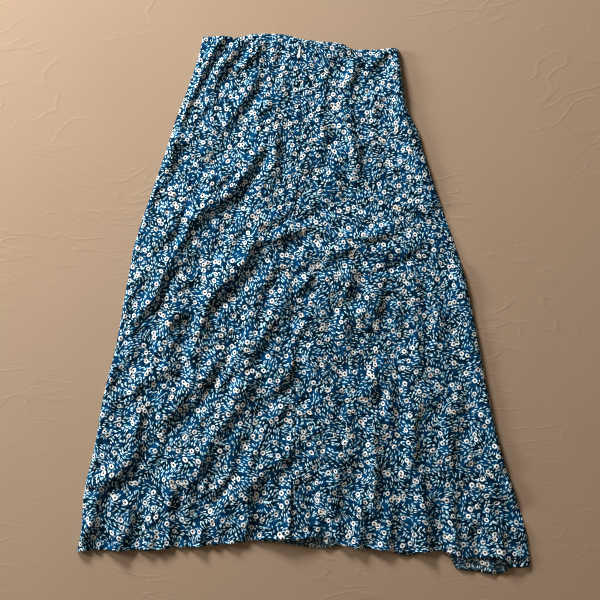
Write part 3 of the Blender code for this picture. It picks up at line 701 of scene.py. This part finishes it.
def with_side_roll(across, down, height, edge, sign):
    """Adds the side, which turns down over the front."""
    angle = np.radians(np.linspace(0.0, 90.0, ROLL_COLUMNS, endpoint=False))[None, :]
    bulge = (edge[0] - across[:, :1]) * sign / SIDE_ROLL
    roll_across = edge[0] - sign * SIDE_ROLL * (1 - np.cos(angle)) * np.abs(bulge)
    roll_down = down[:, :1] + 0 * angle
    roll_height = ROLL_FOOT + (height[:, :1] - ROLL_FOOT) * np.sin(angle)
    return (
        np.hstack((roll_across, across)),
        np.hstack((roll_down, down)),
        np.hstack((roll_height, height)),
    )


def back_panels():
    """Both back panels, rumpled as one cloth that is joined along the centre back seam."""
    left = back_panel_grid(LEFT_SIDE, -1)
    right = back_panel_grid(RIGHT_SIDE, 1)
    whole = [np.hstack((left[i], right[i][:, ::-1])) for i in range(3)]
    whole = rumpled(*whole)
    middle = PANEL_COLUMNS + 1
    result = {}
    for name, sign, edge, part in (
        ("left", -1, left[3], [grid[:, :middle] for grid in whole]),
        ("right", 1, right[3], [grid[:, middle:][:, ::-1] for grid in whole]),
    ):
        across, down, height = part
        height = pressed_in(across, down, height)
        result[name] = with_side_roll(across, down, height, edge, sign)
    return result


def world_points(across, down, height):
    """Places in metres, in the frame that the solids share."""
    return np.stack((across * MM, (WAIST_Y - down) * MM, height * MM), axis=-1)


def cloth_uv(across, down, height, shift):
    """Place of each point in the flat cloth's print, in metres, measured along each row."""
    step_x = np.diff(across, axis=1)
    step_z = np.diff(height, axis=1)
    run = np.cumsum(np.hypot(step_x, step_z) * np.sign(step_x), axis=1)
    along = across[:, :1] + np.hstack((np.zeros((across.shape[0], 1)), run))
    middle = across.shape[1] - 1
    along += across[:, middle:] - along[:, middle:]
    slope = (PRINT_AT_HEM - PRINT_AT_WAIST) / BACK_HEM[0].down
    scale = PRINT_AT_WAIST + slope * down
    return (along / scale + shift[0]) * MM, (shift[1] - np.log(scale) / slope) * MM


def grid_mesh(name, points, uv):
    """Mesh of a grid of points with its cloth map, facing up."""
    rows, columns = points.shape[:2]
    index = np.arange(rows * columns).reshape(rows, columns)
    corners = (index[:-1, :-1], index[1:, :-1], index[1:, 1:], index[:-1, 1:])
    faces = np.stack([corner.ravel() for corner in corners], axis=-1)
    mesh = bpy.data.meshes.new(name)
    mesh.from_pydata(points.reshape(-1, 3).tolist(), [], faces.tolist())
    layer = mesh.uv_layers.new(name="cloth")
    loop_vertices = np.empty(len(mesh.loops), int)
    mesh.loops.foreach_get("vertex_index", loop_vertices)
    flat = np.stack((uv[0].ravel(), uv[1].ravel()), axis=-1)
    layer.data.foreach_set("uv", flat[loop_vertices].ravel())
    mesh.shade_smooth()
    return mesh


def link(name, mesh, *materials):
    """New object with the mesh and its materials."""
    thing = bpy.data.objects.new(name, mesh)
    bpy.context.scene.collection.objects.link(thing)
    for material in materials:
        mesh.materials.append(material)
    return thing


def made_plain(thing):
    """Turns an object with modifiers into a plain mesh."""
    bpy.context.view_layer.update()
    evaluated = thing.evaluated_get(bpy.context.evaluated_depsgraph_get())
    mesh = bpy.data.meshes.new_from_object(evaluated)
    thing.modifiers.clear()
    thing.data = mesh
    return thing


def thickened(thing, wall, inside=0):
    """Gives an open sheet its thickness, downwards from the surface that shows."""
    solid = thing.modifiers.new("cloth", "SOLIDIFY")
    solid.thickness = wall * MM
    solid.offset = -1.0
    solid.material_offset = inside
    return made_plain(thing)


class Recipe:
    """A material's nodes, made by short calls. A value is a number, a vector or a socket."""

    def __init__(self, name):
        self.material = bpy.data.materials.new(name)
        self.material.use_nodes = True
        self.tree = self.material.node_tree
        self.shader = self.tree.nodes["Principled BSDF"]

    def add(self, kind, **settings):
        node = self.tree.nodes.new(kind)
        for setting, value in settings.items():
            setattr(node, setting, value)
        return node

    def feed(self, socket, value):
        if isinstance(value, bpy.types.NodeSocket):
            self.tree.links.new(value, socket)
        else:
            socket.default_value = value

    def set_shader(self, **inputs):
        """Feeds the shader's inputs, each named in lower case with low lines for spaces."""
        for name, value in inputs.items():
            words = name.replace("_", " ").title().replace("Ior", "IOR")
            self.feed(self.shader.inputs[words], value)

    def math(self, operation, *values):
        node = self.add("ShaderNodeMath", operation=operation)
        for socket, value in zip(node.inputs, values):
            self.feed(socket, value)
        return node.outputs[0]

    def plus(self, first, second):
        return self.math("ADD", first, second)

    def minus(self, first, second):
        return self.math("SUBTRACT", first, second)

    def times(self, first, second):
        return self.math("MULTIPLY", first, second)

    def shifted(self, vector, shift):
        node = self.add("ShaderNodeVectorMath", operation="ADD")
        self.feed(node.inputs[0], vector)
        self.feed(node.inputs[1], shift)
        return node.outputs["Vector"]

    def between(self, first, second):
        node = self.add("ShaderNodeVectorMath", operation="SUBTRACT")
        self.feed(node.inputs[0], first)
        self.feed(node.inputs[1], second)
        return node.outputs["Vector"]

    def scaled(self, vector, factor):
        node = self.add("ShaderNodeVectorMath", operation="SCALE")
        self.feed(node.inputs[0], vector)
        node.inputs["Scale"].default_value = factor
        return node.outputs["Vector"]

    def parts(self, vector):
        node = self.add("ShaderNodeSeparateXYZ")
        self.feed(node.inputs[0], vector)
        return node.outputs[0], node.outputs[1], node.outputs[2]

    def joined(self, x, y):
        node = self.add("ShaderNodeCombineXYZ")
        self.feed(node.inputs[0], x)
        self.feed(node.inputs[1], y)
        return node.outputs[0]

    def own_place(self):
        """Place on the object itself, in millimetres."""
        return self.scaled(self.add("ShaderNodeTexCoord").outputs["Object"], 1.0 / MM)

    def step(self, value, low, high):
        """Soft step of a value from one place to another."""
        node = self.add("ShaderNodeMapRange", interpolation_type="SMOOTHSTEP", clamp=True)
        for socket, entry in zip(node.inputs, (value, low, high, 0.0, 1.0)):
            self.feed(socket, entry)
        return node.outputs[0]

    def blend(self, share, first, second):
        node = self.add("ShaderNodeMix", data_type="RGBA")
        self.feed(node.inputs[0], share)
        self.feed(node.inputs[6], first)
        self.feed(node.inputs[7], second)
        return node.outputs[2]

    def noise(self, vector, scale, detail=2.0):
        node = self.add("ShaderNodeTexNoise")
        self.feed(node.inputs["Vector"], vector)
        node.inputs["Scale"].default_value = scale
        node.inputs["Detail"].default_value = detail
        return node.outputs[0]

    def scatter(self, vector, size, randomness):
        """Scattered places: the way from the nearest one, and three random numbers of it."""
        node = self.add("ShaderNodeTexVoronoi", voronoi_dimensions="2D", feature="F1")
        self.feed(node.inputs["Vector"], vector)
        node.inputs["Scale"].default_value = 1.0 / size
        node.inputs["Randomness"].default_value = randomness
        x, y, _ = self.parts(self.between(vector, node.outputs["Position"]))
        return x, y, self.parts(node.outputs["Color"])

    def turned(self, x, y, angle):
        """Place in axes turned by an angle."""
        cosine = self.math("COSINE", angle)
        sine = self.math("SINE", angle)
        along = self.plus(self.times(x, cosine), self.times(y, sine))
        aside = self.minus(self.times(y, cosine), self.times(x, sine))
        return along, aside

    def bump(self, height, strength, distance, under=None):
        node = self.add("ShaderNodeBump")
        node.inputs["Strength"].default_value = strength
        node.inputs["Distance"].default_value = distance
        self.feed(node.inputs["Height"], height)
        if under is not None:
            self.feed(node.inputs["Normal"], under)
        return node.outputs[0]


def flower_masks(look, place, flowers):
    """Masks of petals, of the clear ring round them and of the dark eyes, and two tints."""
    shifted = look.shifted(place, flowers.shift)
    x, y, (pick, kind, there) = look.scatter(shifted, flowers.size, flowers.randomness)
    along, aside = look.turned(x, y, look.times(pick, math.tau))
    half = look.times(look.math("GREATER_THAN", kind, flowers.single), flowers.apart)
    from_middle = look.minus(look.math("ABSOLUTE", along), half)
    squares = look.plus(look.times(from_middle, from_middle), look.times(aside, aside))
    away = look.math("SQRT", squares)
    turn = look.math("ARCTAN2", aside, from_middle)
    lobes = look.math("COSINE", look.plus(look.times(turn, PETALS), look.times(kind, 6.0)))
    grown = look.plus(look.times(pick, FLOWER_MORE), FLOWER_LEAST)
    rim = look.times(look.plus(look.times(lobes, PETAL_DEPTH), grown), flowers.radius)
    inside = look.minus(rim, away)
    shown = look.math("LESS_THAN", there, flowers.present)
    petal = look.times(look.step(inside, -EDGE_SOFT, EDGE_SOFT), shown)
    clear = look.times(look.step(inside, -CLEAR_RING - EDGE_SOFT, -CLEAR_RING + EDGE_SOFT), shown)
    eye = look.step(away, EYE_RADIUS + 0.25, EYE_RADIUS - 0.2)
    return petal, clear, eye, kind, there


def leaf_mask(look, place, number, leaves):
    """Mask of the small slim leaves of one direction, which show in that direction's fans."""
    x, y, _ = look.parts(look.shifted(place, leaves.shift))
    along, aside = look.turned(x, y, leaves.turn)
    room = look.joined(look.math("DIVIDE", along, LEAF_ROOM[0]), look.math("DIVIDE", aside, LEAF_ROOM[1]))
    from_x, from_y, (pick, tint, there) = look.scatter(room, 1.0, LEAF_SCATTER)
    from_x = look.times(from_x, LEAF_ROOM[0])
    from_y = look.times(from_y, LEAF_ROOM[1])
    from_middle = look.joined(*look.turned(from_x, from_y, -leaves.turn))
    _, _, (choice, lean, _) = look.scatter(look.between(place, from_middle), FAN_SIZE, 1.0)
    in_fan = look.math("COMPARE", choice, (number + 0.5) / len(LEAF_SETS), 0.5 / len(LEAF_SETS))
    sway = look.times(look.minus(pick, 0.5), LEAF_SWAY)
    lean = look.times(look.minus(lean, 0.5), FAN_LEAN)
    along, aside = look.turned(from_x, from_y, look.plus(sway, lean))
    aside = look.plus(aside, look.times(leaves.curve, look.times(along, along)))
    grown = look.plus(look.times(there, LEAF_MORE), LEAF_LEAST)
    share = look.math("DIVIDE", along, look.times(grown, LEAF_HALF_LENGTH))
    taper = look.plus(look.times(share, LEAF_TAPER), 1.0)
    round_ends = look.minus(1.0, look.times(share, share))
    broad = look.plus(look.times(look.math("LESS_THAN", there, BROAD_LEAVES), 0.5), 1.0)
    dense = look.step(look.noise(place, 1.0 / LEAF_CLOUD, 1.0), 0.3, 0.7)
    broad = look.times(broad, look.plus(look.times(dense, LEAF_BROAD_MORE), LEAF_SLIM))
    width = look.times(broad, LEAF_HALF_WIDTH)
    lens = look.times(look.times(round_ends, taper), width)
    inside = look.minus(lens, look.math("ABSOLUTE", aside))
    return look.times(look.step(inside, *LEAF_EDGE), in_fan), tint


def printed_colour(look, place):
    """Colour of the right side of the cloth."""
    # the ground's deeper and brighter stretches: its own uneven tone, with a painted sheen on the
    # brighter ones
    cloud = look.step(look.noise(place, 1.0 / GROUND_SHEEN_CLOUD), 0.35, 0.65)
    ground_with_sheen = look.blend(cloud, GROUND_DEEP, GROUND_SHEEN)
    colour = ground_with_sheen
    for number, leaves in enumerate(LEAF_SETS):
        leaf, tint = leaf_mask(look, place, number, leaves)
        colour = look.blend(leaf, colour, look.blend(look.step(tint, 0.25, 0.95), LEAF_WHITE, LEAF_AQUA))
    petal, clear, eye, kind, there = flower_masks(look, place, FLOWERS)
    petals = look.blend(look.step(kind, 0.6, 1.0), PETAL_WHITE, PETAL_CREAM)
    eyes = look.blend(look.step(there, 0.55, 0.8), EYE_BROWN, EYE_OLIVE)
    colour = look.blend(clear, colour, ground_with_sheen)
    return look.blend(petal, colour, look.blend(eye, petals, eyes))


def crepe_bump(look, place):
    """Pebbled crepe grain with small soft crinkles."""
    surface = None
    for relief in CREPE_RELIEFS:
        height = look.noise(place, relief.scale, relief.detail)
        surface = look.bump(height, relief.strength, relief.depth, surface)
    return surface


def cloth_place(look):
    """Place in the flat cloth, in the print's millimetres."""
    uv = look.add("ShaderNodeUVMap", uv_map="cloth")
    return look.scaled(uv.outputs[0], 1.0 / MM)


def printed_crepe():
    """Right side of the cloth."""
    look = Recipe("printed_crepe")
    place = cloth_place(look)
    look.set_shader(base_color=printed_colour(look, place), normal=crepe_bump(look, place))
    look.set_shader(roughness=0.8, specular_ior_level=0.04)
    return look.material


def crepe_inside():
    """Wrong side of the cloth: the print shows through paler and greyer."""
    look = Recipe("printed_crepe_inside")
    place = cloth_place(look)
    washed = look.blend(WASH_SHARE, printed_colour(look, place), WASH)
    look.set_shader(base_color=washed, normal=crepe_bump(look, place))
    look.set_shader(roughness=0.85, specular_ior_level=0.3)
    return look.material


def zip_tape_cloth():
    """Dark woven tape."""
    look = Recipe("zip_tape")
    weave = look.noise(look.own_place(), 1.2, 2.0)
    look.set_shader(base_color=look.blend(weave, *TAPE_BLUE), roughness=0.9)
    look.set_shader(normal=look.bump(weave, 0.5, 0.0003))
    return look.material


def painted_metal(name, paints):
    """Painted zip metal with faint uneven gloss."""
    look = Recipe(name)
    cloud = look.noise(look.own_place(), 0.6, 3.0)
    look.set_shader(base_color=look.blend(look.step(cloud, 0.4, 0.75), *paints))
    gloss = look.plus(look.times(cloud, 0.2), 0.2)
    look.set_shader(roughness=gloss, coat_weight=0.3)
    return look.material


def thread():
    """Dark sewing thread."""
    look = Recipe("sewing_thread")
    ply = look.noise(look.own_place(), 3.0, 1.0)
    look.set_shader(base_color=look.blend(ply, *THREAD_BLUE), roughness=0.7)
    return look.material


def pale_floor():
    """Plain tan surface with a fine grain, and patches of faint creases that run across it."""
    look = Recipe("pale_floor")
    place = look.add("ShaderNodeTexCoord").outputs["Object"]
    cloud = look.noise(place, 6.0, 4.0)
    x, y, _ = look.parts(place)
    wander = look.times(look.noise(place, 3.0, 1.0), 0.25)
    bent = look.joined(look.times(x, FLOOR_CREASE_STRETCH), look.plus(y, wander))
    crease = look.math("ABSOLUTE", look.minus(look.noise(bent, FLOOR_CREASES, 1.5), 0.5))
    creased = look.step(look.noise(place, 4.5, 1.0), *FLOOR_CREASED)
    folded = look.times(look.step(crease, FLOOR_CREASE_WIDTH, 0.0), creased)
    grain = look.times(look.noise(place, FLOOR_GRAIN, 3.0), 0.25)
    look.set_shader(base_color=look.blend(cloud, *FLOOR_TAN))
    look.set_shader(normal=look.bump(look.plus(folded, grain), *FLOOR_RELIEF))
    look.set_shader(roughness=0.9, specular_ior_level=0.15)
    return look.material


def set_slot(node, material):
    """Gives a kept solid its finish."""
    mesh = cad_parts[node].data
    mesh.materials.clear()
    mesh.materials.append(material)


def stitch_tree():
    """Geometry nodes: short stitches laid along a line, each a small rounded bar."""
    tree = bpy.data.node_groups.new("stitches", "GeometryNodeTree")
    face = tree.interface
    face.new_socket("Line", in_out="INPUT", socket_type="NodeSocketGeometry")
    sizes = {"Pitch": STITCH_PITCH, "Length": STITCH_LENGTH, "Radius": STITCH_RADIUS}
    for name, size_mm in sizes.items():
        entry = face.new_socket(name, in_out="INPUT", socket_type="NodeSocketFloat")
        entry.default_value = size_mm * MM
    face.new_socket("Thread", in_out="INPUT", socket_type="NodeSocketMaterial")
    face.new_socket("Stitches", in_out="OUTPUT", socket_type="NodeSocketGeometry")
    nodes = tree.nodes
    start = nodes.new("NodeGroupInput")
    end = nodes.new("NodeGroupOutput")
    curve = nodes.new("GeometryNodeMeshToCurve")
    points = nodes.new("GeometryNodeCurveToPoints")
    points.mode = "LENGTH"
    bar = nodes.new("GeometryNodeMeshUVSphere")
    bar.inputs["Segments"].default_value = STITCH_SIDES
    bar.inputs["Rings"].default_value = STITCH_RINGS
    bar.inputs["Radius"].default_value = 0.5
    size = nodes.new("ShaderNodeCombineXYZ")
    width = nodes.new("ShaderNodeMath")
    width.operation = "MULTIPLY"
    width.inputs[1].default_value = 2.0
    lay = nodes.new("GeometryNodeInstanceOnPoints")
    real = nodes.new("GeometryNodeRealizeInstances")
    dress = nodes.new("GeometryNodeSetMaterial")
    for source, target in (
        (start.outputs["Line"], curve.inputs["Mesh"]),
        (curve.outputs["Curve"], points.inputs["Curve"]),
        (start.outputs["Pitch"], points.inputs["Length"]),
        (points.outputs["Points"], lay.inputs["Points"]),
        (points.outputs["Rotation"], lay.inputs["Rotation"]),
        (bar.outputs["Mesh"], lay.inputs["Instance"]),
        (start.outputs["Radius"], width.inputs[0]),
        (width.outputs[0], size.inputs[0]),
        (width.outputs[0], size.inputs[1]),
        (start.outputs["Length"], size.inputs[2]),
        (size.outputs[0], lay.inputs["Scale"]),
        (lay.outputs["Instances"], real.inputs["Geometry"]),
        (real.outputs["Geometry"], dress.inputs["Geometry"]),
        (start.outputs["Thread"], dress.inputs["Material"]),
        (dress.outputs["Geometry"], end.inputs["Stitches"]),
    ):
        tree.links.new(source, target)
    return tree


def stitch_line(name, points, tree, material):
    """A row of stitches along the points."""
    mesh = bpy.data.meshes.new(name)
    mesh.from_pydata(points.tolist(), [(i, i + 1) for i in range(len(points) - 1)], [])
    row = link(name, mesh)
    sewing = row.modifiers.new("sewing", "NODES")
    sewing.node_group = tree
    for item in tree.interface.items_tree:
        if item.in_out == "INPUT" and item.name == "Thread":
            sewing[item.identifier] = material
    made_plain(row)
    row.data.shade_smooth()
    return row


def make_back_panel(side_name, grid, sign, shift, materials):
    """One back panel's cloth, and the path of the stitches above its hem."""
    across, down, height = grid
    if sign > 0:
        across, down, height = across[:, ::-1], down[:, ::-1], height[:, ::-1]
    uv = cloth_uv(across, down, height, shift)
    mesh = grid_mesh(f"back_{side_name}_cloth", world_points(across, down, height), uv)
    cloth = thickened(link(f"back_{side_name}_cloth", mesh, *materials), CLOTH, inside=1)
    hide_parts(f"back_{side_name}_panel")
    to_hem = smooth_line(BACK_HEM, across) - down
    row = np.argmin(np.abs(to_hem - HEM_DEPTH), axis=0)
    columns = np.arange(across.shape[1])
    if sign < 0:
        on_top = columns > 2 * ROLL_COLUMNS
    else:
        on_top = columns < across.shape[1] - 2 * ROLL_COLUMNS
    surface = world_points(across, down, height + STITCH_RADIUS * STITCH_PROUD)
    return cloth, surface[row, columns][on_top]


def front_side(top, bottom, table, sign):
    """The front's long edge, just inside the turned side of the back."""

    def points(v):
        down = top.down + (bottom.down - top.down) * v
        return smooth_line(table, down) + sign * FRONT_INSET, down

    return points


def make_front(material):
    """Under layer, with its wrong side up, rippled where it shows past the back's hem."""
    v = np.linspace(0.0, 1.0, FRONT_ROWS + 1)[:, None]
    u = np.linspace(0.0, 1.0, FRONT_COLUMNS + 1)[None, :]
    left = front_side(FRONT_WAIST[0], FRONT_HEM[0], LEFT_SIDE, 1)
    right = front_side(FRONT_WAIST[-1], FRONT_HEM[-1], RIGHT_SIDE, -1)
    waist = edge_by_across(FRONT_WAIST, float(left(0.0)[0]), float(right(0.0)[0]))
    hem = edge_by_across(FRONT_HEM, float(left(1.0)[0]), float(right(1.0)[0]))
    across, down = patch(left, right, waist, hem, u, v)
    shows = smooth_step(PEEK_START, PEEK_STOP, down - smooth_line(BACK_HEM, across))
    wide = np.sin(across / RIPPLE_WIDTH + 0.8 * np.sin(across / RIPPLE_SWAY))
    ripple = wide + 0.5 * np.sin(across / RIPPLE_NARROW + 1.0)
    height = WALL + shows * (PEEK_RISE + PEEK_RIPPLE * ripple)
    height += FRONT_HEM_RAISED * in_hem(smooth_line(FRONT_HEM, across) - down)
    height = np.maximum(height, CLOTH + LEAST_HEIGHT)
    uv = cloth_uv(across, down, height, FRONT_PRINT_SHIFT)
    mesh = grid_mesh("front_cloth", world_points(across, down, height), uv)
    cloth = thickened(link("front_cloth", mesh, material), CLOTH)
    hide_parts("front_panel")
    return cloth


def make_facing(material):
    """Strip inside the front's waist, right side up."""
    rows = np.linspace(0.0, 1.0, FACING_ROWS)[:, None]
    start = FRONT_WAIST[0].across + FACING_INSET
    end = FRONT_WAIST[-1].across - FACING_INSET
    places = np.linspace(start, end, FACING_COLUMNS)[None, :]
    across = places + 0 * rows
    down = smooth_line(FRONT_WAIST, places) + FACING_DROP + FACING_DEPTH * rows
    wave = FACING_WAVE * rolling_noise(across, down, FACING_WAVE_SIZE, FACING_SEED)
    height = WALL + GAP + FACING_WALL + wave
    height -= EDGE_TURN * np.exp(-((FACING_DEPTH * rows) / EDGE_TURN_WIDTH) ** 2)
    uv = cloth_uv(across, down, height, FACING_PRINT_SHIFT)
    mesh = grid_mesh("facing_cloth", world_points(across, down, height), uv)
    cloth = thickened(link("facing_cloth", mesh, material), CLOTH)
    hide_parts("front_facing")
    return cloth


def make_floor():
    """Surface that the skirt lies on, which isn't part of it."""
    corners = [(-1, -1, 0), (1, -1, 0), (1, 1, 0), (-1, 1, 0)]
    mesh = bpy.data.meshes.new("floor")
    mesh.from_pydata([[FLOOR_HALF * side for side in corner] for corner in corners], [], [(0, 1, 2, 3)])
    link("floor", mesh, pale_floor())


def make_lamp(lamp):
    """Round area light that faces the origin."""
    data = bpy.data.lights.new(lamp.name, "AREA")
    data.shape = "DISK"
    data.size = lamp.size
    data.energy = lamp.power
    data.color = lamp.colour
    thing = bpy.data.objects.new(lamp.name, data)
    thing.location = lamp.place
    x, y, z = lamp.place
    thing.rotation_euler = (math.atan2(math.hypot(x, y), z), 0.0, math.atan2(-y, -x) - math.pi / 2)
    bpy.context.scene.collection.objects.link(thing)


def make_view():
    """Camera, daylight from the upper left, and the room's soft light."""
    scene = bpy.context.scene
    data = bpy.data.cameras.new("overhead")
    data.sensor_width = SENSOR_WIDTH
    data.lens = SENSOR_WIDTH * CAMERA_PLACE[2] / FRAME_WIDTH
    camera = bpy.data.objects.new("overhead", data)
    camera.location = CAMERA_PLACE
    scene.collection.objects.link(camera)
    scene.camera = camera
    world = bpy.data.worlds.new("room")
    world.use_nodes = True
    background = world.node_tree.nodes["Background"]
    background.inputs["Color"].default_value = ROOM_COLOUR
    background.inputs["Strength"].default_value = ROOM_STRENGTH
    scene.world = world
    scene.view_settings.view_transform = "Standard"
    scene.view_settings.look = "Medium High Contrast"
    scene.cycles.filter_width = SHARPNESS
    for lamp in LAMPS:
        make_lamp(lamp)


def make_skirt():
    """Every piece, riding on the skirt, and the finish of the zip's solids."""
    right_side = printed_crepe()
    wrong_side = crepe_inside()
    sewing_thread = thread()
    tree = stitch_tree()
    front = make_front(wrong_side)
    facing = make_facing(right_side)
    pieces = [front, facing]
    grids = back_panels()
    for side_name, sign, shift in (("left", -1, LEFT_PRINT_SHIFT), ("right", 1, RIGHT_PRINT_SHIFT)):
        cloth, path = make_back_panel(side_name, grids[side_name], sign, shift, (right_side, wrong_side))
        stitches = stitch_line(f"hem_stitches_{side_name}", path, tree, sewing_thread)
        pieces += [cloth, stitches]
    for piece in pieces:
        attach(piece, "skirt")
    tape = zip_tape_cloth()
    set_slot("zip_tape_left", tape)
    set_slot("zip_tape_right", tape)
    set_slot("zip_slider", painted_metal("slider_paint", SLIDER_BLUE))
    set_slot("zip_pull", painted_metal("pull_paint", PULL_WHITE))


make_skirt()
make_floor()
make_view()
